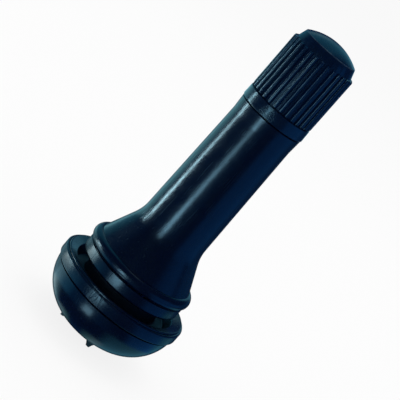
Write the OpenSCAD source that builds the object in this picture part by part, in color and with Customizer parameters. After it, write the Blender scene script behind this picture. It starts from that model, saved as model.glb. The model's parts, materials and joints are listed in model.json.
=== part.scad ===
// Snap-in tubeless tyre valve: a moulded rubber body on a turned brass stem, a spring-loaded
// core screwed into the stem, and a ribbed plastic cap screwed over the stem's mouth.
// Z = 0 is the flat floor of the rim groove, where the wheel rim seats. +Z points to the cap.
// All sizes are in millimetres.

/* [Rubber base] */
// Rim seat to the underside of the base
base_height = 6.5; // [5.5:0.1:7.5]
// Radius of the flat patch under the base
base_flat_r = 2.7; // [2.4:0.1:3.2]
// Rounding of the domed base
dome_round = 6.6; // [6.2:0.1:7]
// Radius of the air hole in the underside
air_hole_r = 1.6; // [1.5:0.05:1.8]
// Radius of the flange over its edge band
flange_r = 9.8; // [9.6:0.05:10.6]
// How far the edge band reaches below the rim seat
edge_drop = 0.15; // [0:0.05:0.4]
// How far the edge band rises above the rim seat
edge_rise = 1.55; // [1.3:0.05:1.8]
// Rounding of the edge band
edge_round = 0.25; // [0.1:0.05:0.5]
// Set-back of the sealing lip from the edge band
lip_inset = 0.35; // [0.2:0.05:0.6]
// Height of the sealing lip above the edge band
lip_rise = 0.3; // [0.15:0.05:0.5]
// Radius where the sloping lip drops into the groove
dish_r = 8; // [7.8:0.05:8.4]
// Depth of the dish below the lip's top
dish_depth = 0.45; // [0.2:0.05:0.8]

/* [Gate marks] */
// Number of torn moulding gates under the base
gate_count = 4; // [3:1:6]
// Radius of the circle of gates
gate_circle_r = 3.9; // [3.2:0.1:4.5]
// Radius of a gate at its root
gate_root_r = 0.5; // [0.3:0.05:0.7]
// Radius of a gate at its torn end
gate_tip_r = 0.2; // [0.1:0.05:0.3]
// How far the gates stand below the base
gate_height = 0.8; // [0.4:0.05:1.2]
// Lean of a torn gate from the upright
gate_lean = 12; // [0:1:20]
// Angle of the first gate around the base
gate_turn = -69; // [-90:1:0]

/* [Neck and bulge] */
// Outer radius of the flat rim seat
seat_r = 7.4; // [7:0.05:7.6]
// Radius of the neck that fills the rim hole
neck_r = 5.9; // [5.6:0.05:6.2]
// Width of the rim groove at the neck
groove_width = 2.9; // [2.7:0.1:3.6]
// How far the bulge's underside droops at its edge
bulge_droop = 0.5; // [0.2:0.05:0.6]
// Radius of the band that grips the rim from outside
bulge_r = 7.77; // [7.6:0.01:7.95]
// Top of the gripping band above the rim seat
band_top = 4.15; // [3.6:0.05:4.4]
// Depth of the fine groove above the band
ridge_depth = 0.15; // [0.05:0.01:0.25]
// Height of the fine groove above the band
ridge_height = 0.25; // [0.15:0.05:0.4]
// Radius of the rounded bead over its widest part
bead_r = 8.08; // [7.95:0.01:8.35]
// Rounding of the bead
bead_round = 0.95; // [0.8:0.01:1.15]

/* [Rubber stem] */
// Radius of the stem at the foot of its taper
stem_foot_r = 4.96; // [4.8:0.01:5.3]
// Height of the foot of the taper
stem_foot_z = 11.1; // [10:0.1:13]
// Radius of the stem below its end ring
stem_top_r = 4.62; // [4.5:0.01:4.75]
// Height over which the end ring swells
end_ring_h = 2.1; // [1:0.1:3]
// Radius of the end ring
end_ring_r = 4.74; // [4.65:0.01:4.85]
// Blend between the flare and the stem
flare_round = 6.1; // [3:0.1:8]
// Height of the rubber above the rim seat
body_top = 31.45; // [28:0.05:40]

/* [Brass stem] */
// Outside radius of the cap thread
thread_r = 3.85; // [3.75:0.01:3.9]
// Length of stem that stands under the rubber's end with the thread on it
thread_bury = 0.8; // [0.4:0.1:2]
// Radius of the stem inside the rubber
shank_r = 3.3; // [3.1:0.05:3.5]
// Radius of the anchor flange in the base
anchor_r = 4.7; // [4:0.1:5.2]
// Thickness of the anchor flange
anchor_t = 1; // [0.6:0.1:1.4]
// Top of the anchor flange below the rim seat
anchor_drop = 2.4; // [1.5:0.1:2.8]
// Radius of the tail below the anchor
tail_r = 2.6; // [2.4:0.05:3]
// Height of the tail's end above the underside of the base
tail_cover = 1.3; // [0.8:0.1:2]
// Radius of the air channel in the tail
channel_r = 1.5; // [1.2:0.05:1.55]
// Radius of the chamber that the core hangs in
chamber_r = 2.12; // [2.05:0.01:2.2]
// Room in the chamber below the pressed pin
chamber_room = 2; // [1:0.1:4]
// Radius of the core thread's hole
core_hole_r = 2.62; // [2.6:0.01:2.7]
// Chamfer at the mouth, inside and out
mouth_chamfer = 0.45; // [0.2:0.05:0.5]

/* [Valve core] */
// Depth of the plug's top below the mouth
plug_depth = 0.9; // [0.6:0.05:1.2]
// Height of the plug's bar, which the core tool turns
bar_height = 1.8; // [1.4:0.1:2.2]
// Radius of the plug's bar
bar_r = 1.9; // [1.6:0.05:2.1]
// Width across the flats of the plug's bar
bar_width = 1.9; // [1.6:0.05:2.2]
// Length of the plug's threaded part
plug_thread_h = 3.6; // [3.4:0.1:4.4]
// Radius of the air passage in the plug
plug_bore_r = 1.25; // [1.15:0.01:1.35]
// Radius of the barrel
barrel_r = 1.6; // [1.55:0.01:1.65]
// Length of the barrel
barrel_length = 9; // [8.4:0.1:10]
// Radius of the barrel's bore
barrel_bore_r = 1.15; // [1.12:0.01:1.25]
// Radius of the barrel's head, held in the plug
barrel_head_r = 1.9; // [1.8:0.01:1.95]
// Depth of the sealing ring's top below the mouth
ring_depth = 8.05; // [7.9:0.05:8.6]
// Height of the sealing ring
ring_height = 1.85; // [1.5:0.05:2.2]
// How much the seat cone narrows over the ring's height
seat_taper = 0.28; // [0.2:0.01:0.32]
// Radius of the pin
pin_r = 0.5; // [0.45:0.01:0.55]
// Depth of the pin's end below the mouth
pin_depth = 0.3; // [0.1:0.05:0.6]
// Travel of the pin when it is pressed
pin_travel = 1.2; // [0.8:0.1:1.4]
// Radius of the pin's collar above the spring
collar_r = 1; // [0.95:0.01:1.05]
// Radius of the spring over its coils
spring_r = 1.08; // [1.02:0.01:1.1]
// Diameter of the spring wire
wire_d = 0.26; // [0.2:0.01:0.28]
// Number of coils
spring_turns = 9; // [7:1:11]
// Radius of the cup
cup_r = 1.7; // [1.6:0.01:1.75]
// Height of the cup
cup_height = 2.2; // [1.8:0.1:2.6]
// Height of the cup's seal
cup_seal_h = 0.66; // [0.5:0.02:0.8]

/* [Cap] */
// Height of the cap over its dome
cap_height = 12.5; // [11.5:0.1:14]
// Depth of the cap's hole to its roof
cap_depth = 10.7; // [9.8:0.1:10.8]
// Radius of the skirt at its foot
skirt_r = 4.85; // [4.7:0.01:5.2]
// Height of the smooth skirt
skirt_height = 1.7; // [1:0.1:3]
// Radius of the cap between the ribs
cap_core_r = 4.38; // [4.3:0.01:4.5]
// Radius over the ribs
rib_r = 4.79; // [4.6:0.01:5]
// Number of ribs
rib_count = 30; // [20:1:40]
// Width of a rib at its root
rib_root_w = 0.62; // [0.3:0.01:0.65]
// Width of a rib at its crest
rib_crest_w = 0.4; // [0.2:0.01:0.45]
// Angle of the first rib
rib_turn = 9.5; // [0:0.5:12]
// Top of the ribs below the top of the dome
rib_end = 2.4; // [2:0.1:3]
// Radius of the dome's edge
dome_edge_r = 3.97; // [3.85:0.01:4.2]
// Height of the dome
dome_height = 1.15; // [0.9:0.05:1.4]
// Radius of the sealing disc under the roof
cap_seal_r = 3.42; // [3:0.01:3.5]
// Thickness of the sealing disc
cap_seal_t = 1; // [0.6:0.05:1.2]

/* [Clearances] */
// Bond line between rubber and brass
bond_gap = 0.02; // [0.01:0.01:0.05]
// Gap around pieces that lie against each other
seat_gap = 0.03; // [0.02:0.01:0.05]
// Radial clearance of the screw threads
thread_gap = 0.07; // [0.05:0.01:0.1]
// Radial clearance of the pin and the swivelling barrel
slide_gap = 0.08; // [0.05:0.01:0.1]
// Gap between the cap's foot and the rubber
cap_gap = 0.05; // [0.02:0.01:0.2]

/* [Hidden] */
$fn = 96;
// Steps in each rounded corner of an outline
round_steps = 8;
// A small overrun for cuts
over = 0.5;

rubber_black = [0.04, 0.07, 0.11];
cap_black = [0.03, 0.06, 0.1];
brass = [0.78, 0.62, 0.3];
steel = [0.7, 0.71, 0.73];
seal_black = [0.09, 0.09, 0.1];
ring_red = [0.55, 0.12, 0.1];

// Heights of the cap, the mouth and the core, from the rim seat
cap_foot = body_top + cap_gap;
cap_top = cap_foot + cap_height;
cap_roof = cap_foot + cap_depth;
mouth_z = cap_roof - cap_seal_t - seat_gap;
thread_foot = body_top - thread_bury;
tail_end = tail_cover - base_height;
anchor_top = -anchor_drop;

plug_top = mouth_z - plug_depth;
bar_foot = plug_top - bar_height;
plug_foot = bar_foot - plug_thread_h;
// Heights of the crimped lip at the plug's foot and of the barrel's head above it
crimp_h = 0.45;
head_h = 0.6;
pocket_top = plug_foot + crimp_h + head_h + 2 * seat_gap;
barrel_top = plug_foot + crimp_h + head_h + seat_gap;
barrel_foot = barrel_top - barrel_length;
// Heights of the bar's roof, which guides the pin, and of the barrel's floor, with its air gap
bar_roof_h = 0.6;
floor_h = 0.5;
floor_gap = 0.22;

ring_top = mouth_z - ring_depth;
ring_foot = ring_top - ring_height;
ring_top_r = chamber_r + seat_taper;
// The barrel's shoulder above the sealing ring and its bead below the ring
shoulder_h = 0.55;
shoulder_proud = 0.35;
bead_h = 0.27;
bead_proud = 0.18;

pin_top = mouth_z - pin_depth;
collar_h = 0.45;
collar_depth = 1.75;
collar_foot = barrel_top - collar_depth;
spring_top = collar_foot - seat_gap;
spring_foot = barrel_foot + floor_h + seat_gap;
seal_lip = 0.08;
cup_seal_top = barrel_foot - seat_gap;
cup_top = cup_seal_top - seal_lip;
cup_foot = cup_top - cup_height;
cup_wall = 0.25;
rivet_h = 0.4;
rivet_r = pin_r + 0.25;
pin_foot = cup_foot - seat_gap - rivet_h;
chamber_foot = pin_foot - pin_travel - chamber_room;

// Unit vector along v
function unit(v) = v / norm(v);

// Points of a circular arc in the plane of an outline
function arc(centre, radius, from, to, steps = round_steps) =
    [for (i = [0:steps]) let (a = from + (to - from) * i / steps) centre + radius * [cos(a), sin(a)]];

// The corner b of the path a, b, c, rounded by an arc that is tangent to both sides
function corner(a, b, c, radius) =
    let (
        u = unit(a - b),
        v = unit(c - b),
        half = acos(u * v) / 2,
        centre = b + unit(u + v) * radius / sin(half),
        p = b + u * radius / tan(half) - centre,
        q = b + v * radius / tan(half) - centre,
        start = atan2(p.y, p.x),
        turn = atan2(q.y, q.x) - start,
        sweep = turn > 180 ? turn - 360 : turn < -180 ? turn + 360 : turn
    )
    arc(centre, radius, start, start + sweep);

// A closed outline of [r, z] corners, where a third number rounds the corner
function outline(path) =
    [for (i = [0:len(path) - 1])
        let (
            n = len(path),
            a = path[(i + n - 1) % n],
            b = path[i],
            c = path[(i + 1) % n]
        )
        each len(b) < 3 || b[2] == 0
            ? [[b.x, b.y]]
            : corner([a.x, a.y], [b.x, b.y], [c.x, c.y], b[2])];

// A solid of revolution about the valve's axis
module turned(path) {
    rotate_extrude() polygon(outline(path));
}

// The brass stem's outside from its thread down to its tail, grown by a bond line
function stem_outside(grow) = [
    [thread_r + grow, thread_foot - grow],
    [shank_r + grow, thread_foot - (thread_r - shank_r) - grow],
    [shank_r + grow, anchor_top + grow],
    [anchor_r + grow, anchor_top + grow],
    [anchor_r + grow, anchor_top - anchor_t - grow],
    [tail_r + grow, anchor_top - anchor_t - grow],
    [tail_r + grow, tail_end - grow]
];

// The domed underside, from the air hole to the flange
function base_outline() =
    let (
        centre = [base_flat_r, dome_round - base_height],
        rise = asin((-edge_drop - centre.y) / dome_round)
    )
    concat([[air_hole_r, -base_height]], arc(centre, dome_round, -90, rise, 3 * round_steps));

// The rounded bead that the flare stands on
function bead_outline() =
    let (
        foot = band_top + ridge_height,
        foot_angle = -42,
        top_angle = 82,
        centre = [bead_r - bead_round, foot - bead_round * sin(foot_angle)]
    )
    arc(centre, bead_round, foot_angle, top_angle, 2 * round_steps);

module rubber_body() color(rubber_black) {
    bulge_low = groove_width - bulge_droop;
    lip_r = flange_r - lip_inset;
    lip_top = edge_rise + lip_rise;
    // Roundings of the groove, the lip's inner edge, the seat's edge, the band and the end ring
    groove_round = 0.4;
    dish_round = 0.3;
    seat_round = 0.15;
    band_round = 0.35;
    ring_blend = 3;
    end_chamfer = 0.15;
    // The flat that is left beside a rounded corner
    land = 0.02;
    turned(concat(
        base_outline(),
        [
            [flange_r, -edge_drop, min(edge_round, flange_r - base_flat_r - dome_round - land)],
            [flange_r, edge_rise, min(edge_round, lip_inset - land)],
            [lip_r, edge_rise],
            [lip_r, lip_top, lip_rise / 2],
            [dish_r, lip_top - dish_depth, dish_round],
            [seat_r, 0, seat_round],
            [neck_r, 0, groove_round],
            [neck_r, groove_width, groove_round],
            [bulge_r, bulge_low, band_round],
            [bulge_r, band_top],
            [bulge_r - ridge_depth, band_top + ridge_height / 2]
        ],
        bead_outline(),
        [
            [stem_foot_r, stem_foot_z, flare_round],
            [stem_top_r, body_top - end_ring_h, ring_blend],
            [end_ring_r, body_top - end_chamfer],
            [end_ring_r - end_chamfer, body_top],
            [thread_r + bond_gap, body_top]
        ],
        stem_outside(bond_gap),
        [[air_hole_r, tail_end - bond_gap]]
    ));
    for (i = [0:gate_count - 1]) rotate(gate_turn + 360 / gate_count * i) gate_nib();
}

// One torn gate: a leaning stub that starts inside the base
module gate_nib() {
    sunk = 0.6;
    torn_off = 4;
    difference() {
        translate([gate_circle_r, 0, sunk - base_height])
            rotate([180, gate_lean, 0])
                cylinder(h = sunk + 2 * gate_height, r1 = gate_root_r, r2 = gate_tip_r);
        translate([gate_circle_r, 0, -base_height - gate_height - torn_off / 2])
            cube(torn_off, center = true);
    }
}

module brass_stem() color(brass) {
    seat_top = ring_top + 0.15;
    turned(concat(
        [
            [channel_r, chamber_foot - (chamber_r - channel_r)],
            [chamber_r, chamber_foot],
            [chamber_r, ring_foot],
            [ring_top_r, ring_top],
            [ring_top_r, seat_top],
            [core_hole_r, seat_top],
            [core_hole_r, mouth_z - mouth_chamfer],
            [core_hole_r + mouth_chamfer / 2, mouth_z],
            [thread_r - mouth_chamfer, mouth_z],
            [thread_r, mouth_z - mouth_chamfer]
        ],
        stem_outside(0),
        [[channel_r, tail_end]]
    ));
}

module core_plug() color(brass) {
    thread = core_hole_r - thread_gap;
    bevel = 0.25;
    difference() {
        union() {
            intersection() {
                translate([0, 0, bar_foot - over]) cylinder(h = bar_height + over, r = bar_r);
                translate([-bar_r - over, -bar_width / 2, bar_foot - over])
                    cube([2 * (bar_r + over), bar_width, bar_height + over]);
            }
            turned([
                [0, plug_foot],
                [thread - bevel, plug_foot],
                [thread, plug_foot + bevel],
                [thread, bar_foot - bevel],
                [thread - bevel, bar_foot],
                [0, bar_foot]
            ]);
        }
        turned([
            [0, plug_foot - over],
            [barrel_r + slide_gap, plug_foot - over],
            [barrel_r + slide_gap, plug_foot + crimp_h],
            [barrel_head_r + slide_gap, plug_foot + crimp_h],
            [barrel_head_r + slide_gap, pocket_top],
            [plug_bore_r, pocket_top],
            [plug_bore_r, plug_top - bar_roof_h],
            [pin_r + slide_gap, plug_top - bar_roof_h],
            [pin_r + slide_gap, plug_top + over],
            [0, plug_top + over]
        ]);
    }
}

module core_barrel() color(brass)
    turned([
        [pin_r + floor_gap, barrel_foot],
        [barrel_r, barrel_foot],
        [barrel_r, ring_foot - seat_gap - bead_h],
        [barrel_r + bead_proud, ring_foot - seat_gap - bead_h],
        [barrel_r + bead_proud, ring_foot - seat_gap],
        [barrel_r, ring_foot - seat_gap],
        [barrel_r, ring_top + seat_gap],
        [barrel_r + shoulder_proud, ring_top + seat_gap],
        [barrel_r + shoulder_proud, ring_top + seat_gap + shoulder_h],
        [barrel_r, ring_top + seat_gap + shoulder_h],
        [barrel_r, barrel_top - head_h],
        [barrel_head_r, barrel_top - head_h],
        [barrel_head_r, barrel_top],
        [barrel_bore_r, barrel_top],
        [barrel_bore_r, barrel_foot + floor_h],
        [pin_r + floor_gap, barrel_foot + floor_h]
    ]);

module core_seal_ring() color(ring_red)
    turned([
        [barrel_r + seat_gap, ring_foot],
        [chamber_r - seat_gap, ring_foot],
        [ring_top_r - seat_gap, ring_top],
        [barrel_r + seat_gap, ring_top]
    ]);

module core_pin() color(brass) {
    tip = 0.15;
    turned([
        [0, pin_foot],
        [rivet_r - tip, pin_foot],
        [rivet_r, pin_foot + tip],
        [rivet_r, pin_foot + rivet_h],
        [pin_r, pin_foot + rivet_h],
        [pin_r, collar_foot],
        [collar_r, collar_foot],
        [collar_r, collar_foot + collar_h],
        [pin_r, collar_foot + collar_h],
        [pin_r, pin_top - tip],
        [pin_r - tip, pin_top],
        [0, pin_top]
    ]);
}

module core_cup() color(brass) {
    recess_foot = cup_seal_top - cup_seal_h - seat_gap;
    waist_r = cup_r - 0.45;
    turned([
        [pin_r + seat_gap, cup_foot],
        [waist_r, cup_foot],
        [cup_r, cup_foot + cup_height / 2],
        [cup_r, cup_top],
        [cup_r - cup_wall, cup_top],
        [cup_r - cup_wall, recess_foot],
        [pin_r + seat_gap, recess_foot]
    ]);
}

module core_cup_seal() color(seal_black)
    turned([
        [pin_r + seat_gap, cup_seal_top - cup_seal_h],
        [cup_r - cup_wall - seat_gap, cup_seal_top - cup_seal_h],
        [cup_r - cup_wall - seat_gap, cup_seal_top],
        [pin_r + seat_gap, cup_seal_top]
    ]);

// Height of the spring wire's centre after so many turns: the end coils lie flat on their seats
function coil_height(turn) =
    let (
        low = spring_foot + wire_d / 2,
        high = spring_top - wire_d / 2,
        rise = (high - low - 2 * wire_d) / (spring_turns - 2)
    )
    turn < 1 ? low + wire_d * turn
    : turn > spring_turns - 1 ? high - wire_d * (spring_turns - turn)
    : low + wire_d + rise * (turn - 1);

// The coil spring: a round wire swept along a helix
module core_spring() color(steel) {
    sides = 8;
    steps = 18;
    rings = spring_turns * steps;
    mean_r = spring_r - wire_d / 2;
    wire = [
        for (i = [0:rings], j = [0:sides - 1])
            let (
                around = 360 * i / steps,
                side = 360 * j / sides,
                r = mean_r + wire_d / 2 * cos(side)
            )
            [r * cos(around), r * sin(around), coil_height(i / steps) + wire_d / 2 * sin(side)]
    ];
    skin = [
        for (i = [0:rings - 1], j = [0:sides - 1])
            let (
                k = (j + 1) % sides,
                a = i * sides
            )
            [a + j, a + sides + j, a + sides + k, a + k]
    ];
    first_end = [for (j = [0:sides - 1]) j];
    last_end = [for (j = [sides - 1:-1:0]) rings * sides + j];
    polyhedron(points = wire, faces = concat(skin, [first_end], [last_end]), convexity = 10);
}

module cap() color(cap_black) {
    bore_r = thread_r + thread_gap;
    pocket_foot = cap_roof - cap_seal_t;
    lead_in = 0.35;
    skirt_round = 0.12;
    rib_sunk = 0.1;
    rib_top = cap_top - rib_end;
    edge_z = cap_top - dome_height;
    sphere_r = (pow(dome_edge_r, 2) + pow(dome_height, 2)) / (2 * dome_height);
    dome_angle = asin(dome_edge_r / sphere_r);
    rib_skirt = cap_foot + skirt_height;
    turned(concat(
        [
            [bore_r + lead_in, cap_foot],
            [skirt_r, cap_foot, skirt_round],
            [rib_r, rib_skirt, skirt_round],
            [cap_core_r, rib_skirt],
            [cap_core_r, rib_top],
            [dome_edge_r, edge_z]
        ],
        arc([0, cap_top - sphere_r], sphere_r, 90 - dome_angle, 90, 2 * round_steps),
        [
            [0, cap_roof],
            [cap_seal_r + slide_gap, cap_roof],
            [cap_seal_r + slide_gap, pocket_foot],
            [bore_r, pocket_foot - (bore_r - cap_seal_r)],
            [bore_r, cap_foot + lead_in]
        ]
    ));
    intersection() {
        translate([0, 0, rib_skirt - rib_sunk]) linear_extrude(rib_top - rib_skirt + rib_sunk) rib_ring();
        rib_envelope(rib_skirt - over, rib_top);
    }
}

// The ribs seen from above: one trapezoid for each rib, rooted in the cap's wall
module rib_ring() {
    root_r = (cap_core_r + thread_r + thread_gap) / 2;
    for (i = [0:rib_count - 1])
        rotate(rib_turn + 360 / rib_count * i)
            polygon([
                [root_r, -rib_root_w / 2],
                [cap_core_r, -rib_root_w / 2],
                [rib_r, -rib_crest_w / 2],
                [rib_r, rib_crest_w / 2],
                [cap_core_r, rib_root_w / 2],
                [root_r, rib_root_w / 2]
            ]);
}

// The ribs' outer limit: a drum whose top edge is bevelled
module rib_envelope(low, high) {
    bevel = 0.2;
    turned([
        [0, low],
        [rib_r + over, low],
        [rib_r + over, high - bevel - over],
        [rib_r - bevel, high],
        [0, high]
    ]);
}

module cap_seal() color(seal_black)
    translate([0, 0, cap_roof - cap_seal_t]) cylinder(h = cap_seal_t - seat_gap / 2, r = cap_seal_r);

rubber_body();
brass_stem();
core_plug();
core_barrel();
core_seal_ring();
core_pin();
core_cup();
core_cup_seal();
core_spring();
cap();
cap_seal();
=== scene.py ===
import json
import math

import bpy
from mathutils import Matrix, Vector

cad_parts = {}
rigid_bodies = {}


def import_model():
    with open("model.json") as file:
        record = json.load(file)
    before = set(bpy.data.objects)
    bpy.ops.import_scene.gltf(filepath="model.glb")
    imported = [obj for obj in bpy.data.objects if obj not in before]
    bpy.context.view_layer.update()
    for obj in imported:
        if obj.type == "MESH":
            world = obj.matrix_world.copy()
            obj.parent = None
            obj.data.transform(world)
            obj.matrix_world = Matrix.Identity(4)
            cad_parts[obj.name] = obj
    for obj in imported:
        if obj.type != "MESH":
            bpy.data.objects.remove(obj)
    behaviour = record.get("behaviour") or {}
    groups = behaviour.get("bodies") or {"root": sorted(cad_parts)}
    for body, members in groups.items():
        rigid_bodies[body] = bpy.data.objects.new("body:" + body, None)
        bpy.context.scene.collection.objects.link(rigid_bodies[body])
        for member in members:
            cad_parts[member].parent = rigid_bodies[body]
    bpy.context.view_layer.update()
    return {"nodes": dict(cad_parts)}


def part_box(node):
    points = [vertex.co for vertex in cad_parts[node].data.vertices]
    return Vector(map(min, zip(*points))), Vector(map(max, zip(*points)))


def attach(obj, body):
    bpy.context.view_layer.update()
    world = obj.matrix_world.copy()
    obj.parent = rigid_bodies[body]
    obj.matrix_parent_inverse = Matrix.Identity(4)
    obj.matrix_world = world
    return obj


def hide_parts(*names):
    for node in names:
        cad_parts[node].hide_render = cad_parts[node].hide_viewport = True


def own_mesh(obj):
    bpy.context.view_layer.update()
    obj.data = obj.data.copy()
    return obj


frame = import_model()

# One millimetre in the frame's metres
MM = 0.001
# Points closer than this, in metres, are one point
WELD = 0.000001
# Facets round a large turned piece, a small one, the pin and a card
LARGE_TURN = 192
SMALL_TURN = 96
PIN_TURN = 48
CARD_TURN = 72
# A rounded corner has at least so many steps, and about one to so many degrees
CORNER_STEPS = 6
CORNER_DEGREES = 8
# Edges sharper than this stay crisp
CRISP = math.radians(32)

# Heights that the frame gives, in millimetres from the rim seat
FLOOR_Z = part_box("rubber_body")[0].z / MM
BODY_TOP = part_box("rubber_body")[1].z / MM
CAP_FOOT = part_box("cap")[0].z / MM
CAP_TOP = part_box("cap")[1].z / MM
MOUTH_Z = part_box("brass_stem")[1].z / MM
TAIL_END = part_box("brass_stem")[0].z / MM
SEAL_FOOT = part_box("cap_seal")[0].z / MM
SEAL_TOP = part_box("cap_seal")[1].z / MM
PLUG_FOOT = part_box("core_plug")[0].z / MM
PLUG_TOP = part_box("core_plug")[1].z / MM
PIN_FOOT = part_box("core_pin")[0].z / MM
PIN_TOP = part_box("core_pin")[1].z / MM
SPRING_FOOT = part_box("core_spring")[0].z / MM
SPRING_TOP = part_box("core_spring")[1].z / MM

# Radii that the frame gives, in millimetres
FLANGE_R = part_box("rubber_body")[1].x / MM
SKIRT_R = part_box("cap")[1].x / MM
SEAL_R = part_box("cap_seal")[1].x / MM
PLUG_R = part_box("core_plug")[1].x / MM
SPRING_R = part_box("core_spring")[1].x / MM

# The rubber's base and neck
BASE_Z = -6.5
NECK_R = 5.9

# The brass that the rubber is moulded round
SHANK_R = 3.3
ANCHOR_R = 4.7
ANCHOR_TOP = -2.4
ANCHOR_FOOT = -3.4
TAIL_R = 2.6

# The cap's wall, the ends of its ribs and the edge of its dome
CAP_WALL_R = 4.38
SKIRT_TOP = CAP_FOOT + 1.7
RIB_TOP = CAP_TOP - 2.4
CAP_EDGE_R = 3.97
CAP_EDGE_Z = CAP_TOP - 1.15

# The cap thread: both halves share the pitch, half a turn apart
THREAD_PITCH = 0.79375
THREAD_R = 3.85
THREAD_ROOT_R = 3.4
THREAD_TOP = MOUTH_Z - 0.75
THREAD_FOOT = BODY_TOP - 0.8
THREAD_RUNOUT = 0.55
THREAD_STEPS = 72
CAP_BORE_R = 3.92
# How deep a thread's ridge is sunk into the piece that carries it
RIDGE_SUNK = 0.05

# The colour of scuffed rubber and plastic
SCUFFED = (0.012, 0.03, 0.045)
# The share of its reach over which a mask is full
FULL_SHARE = 0.35
# Sockets of a colour mix, whose names aren't its own
MIX_FACTOR = 0
MIX_UNDER = 6
MIX_OVER = 7
MIX_RESULT = 2


# Drawing


def at_mm(x, y, z):
    """A place in millimetres, as a vector in metres."""
    return Vector((x, y, z)) * MM


def deselect():
    """Leaves nothing selected."""
    if bpy.context.mode != "OBJECT":
        bpy.ops.object.mode_set(mode="OBJECT")
    bpy.ops.object.select_all(action="DESELECT")


def arc(centre_r, centre_z, radius, start, end, steps):
    """Points of an arc in an outline, with its angles in degrees."""
    points = []
    for i in range(steps + 1):
        angle = math.radians(start + (end - start) * i / steps)
        points.append((centre_r + radius * math.cos(angle), centre_z + radius * math.sin(angle)))
    return points


def rounded(outline):
    """A closed outline of (r, z) corners, where a third number rounds the corner."""
    points = []
    for i, corner in enumerate(outline):
        if len(corner) < 3:
            points.append(corner)
            continue
        here = Vector(corner[:2])
        back = (Vector(outline[i - 1][:2]) - here).normalized()
        ahead = (Vector(outline[(i + 1) % len(outline)][:2]) - here).normalized()
        half = back.angle(ahead) / 2
        radius = corner[2]
        centre = here + (back + ahead).normalized() * radius / math.sin(half)
        first = here + back * radius / math.tan(half) - centre
        last = here + ahead * radius / math.tan(half) - centre
        start = math.degrees(math.atan2(first.y, first.x))
        turn = math.degrees(math.atan2(last.y, last.x)) - start
        turn = (turn + 180) % 360 - 180
        steps = max(CORNER_STEPS, round(abs(turn) / CORNER_DEGREES))
        points += arc(centre.x, centre.y, radius, start, start + turn, steps)
    return points


def ridge(base_r, crest_r, half_base, half_crest):
    """The outline of a thread's ridge round z = 0."""
    return [
        (base_r, -half_base),
        (crest_r, -half_crest),
        (crest_r, half_crest),
        (base_r, half_base),
    ]


def draw_line(name, places):
    """A line drawn through places in mm, left in edit mode with all of it selected."""
    deselect()
    bpy.ops.mesh.primitive_plane_add(size=MM)
    shape = bpy.context.object
    shape.name = name
    bpy.ops.object.mode_set(mode="EDIT")
    bpy.ops.mesh.select_mode(type="VERT")
    bpy.ops.mesh.select_all(action="SELECT")
    bpy.ops.mesh.merge(type="CENTER")
    bpy.ops.transform.translate(value=places[0] * MM)
    for here, there in zip(places, places[1:]):
        step = (there - here) * MM
        bpy.ops.mesh.extrude_vertices_move(TRANSFORM_OT_translate={"value": step})
    bpy.ops.mesh.select_all(action="SELECT")
    return shape


def draw_outline(name, points):
    """A closed outline of (r, z) points in the XZ plane, left in edit mode."""
    places = [Vector((r, 0, z)) for r, z in points]
    shape = draw_line(name, places + places[:1])
    weld()
    return shape


def weld():
    """Merges the points that lie on each other."""
    bpy.ops.mesh.select_all(action="SELECT")
    bpy.ops.mesh.remove_doubles(threshold=WELD)


def face_outwards():
    """Turns every face of a closed shape outwards."""
    bpy.ops.mesh.select_all(action="SELECT")
    bpy.ops.mesh.normals_make_consistent(inside=False)


def close_holes():
    """Fills every open edge loop of the shape in edit mode."""
    bpy.ops.mesh.select_mode(type="EDGE")
    bpy.ops.mesh.select_all(action="DESELECT")
    bpy.ops.mesh.select_non_manifold()
    bpy.ops.mesh.fill()


def spin(sides):
    """Spins the line in edit mode once round the valve's axis."""
    bpy.ops.mesh.select_all(action="SELECT")
    bpy.ops.mesh.spin(steps=sides, angle=2 * math.pi, center=(0, 0, 0), axis=(0, 0, 1))
    weld()


def turned(name, outline, sides):
    """A turned piece: an outline spun round the valve's axis."""
    shape = draw_outline(name, rounded(outline))
    spin(sides)
    bpy.ops.mesh.delete_loose()
    face_outwards()
    bpy.ops.object.mode_set(mode="OBJECT")
    return shape


def helix(name, outline, foot, pitch, turns, steps):
    """A small closed outline, drawn at z = 0, swept up a right-hand helix from a height."""
    shape = draw_outline(name, [(r, z + foot) for r, z in outline])
    bpy.ops.object.mode_set(mode="OBJECT")
    sweep = shape.modifiers.new("sweep", "SCREW")
    sweep.axis = "Z"
    sweep.angle = 2 * math.pi
    sweep.screw_offset = pitch * MM
    sweep.iterations = turns
    sweep.steps = steps
    sweep.render_steps = steps
    sweep.use_merge_vertices = False
    bpy.ops.object.modifier_apply(modifier=sweep.name)
    bpy.ops.object.mode_set(mode="EDIT")
    close_holes()
    face_outwards()
    bpy.ops.object.mode_set(mode="OBJECT")
    return shape


def pick_faces(shape, wanted):
    """Selects only the wanted faces in edit mode, by their place in mm and their normal."""
    bpy.ops.object.mode_set(mode="EDIT")
    bpy.ops.mesh.select_mode(type="FACE")
    bpy.ops.mesh.select_all(action="DESELECT")
    bpy.ops.object.mode_set(mode="OBJECT")
    for face in shape.data.polygons:
        face.select = wanted(face.center / MM, face.normal)
    bpy.ops.object.mode_set(mode="EDIT")


def join_to(shape, *others):
    """Makes the others part of a shape."""
    deselect()
    for other in others:
        other.select_set(True)
    shape.select_set(True)
    bpy.context.view_layer.objects.active = shape
    bpy.ops.object.join()


def finish_piece(shape, material, body, slot, *nodes):
    """Smooths a piece, gives it its finish and sets it on its body in place of the nodes."""
    deselect()
    shape.select_set(True)
    bpy.context.view_layer.objects.active = shape
    bpy.ops.object.shade_smooth_by_angle(angle=CRISP)
    shape.data.materials.clear()
    shape.data.materials.append(material)
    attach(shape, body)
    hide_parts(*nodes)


# Finishes


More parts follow.
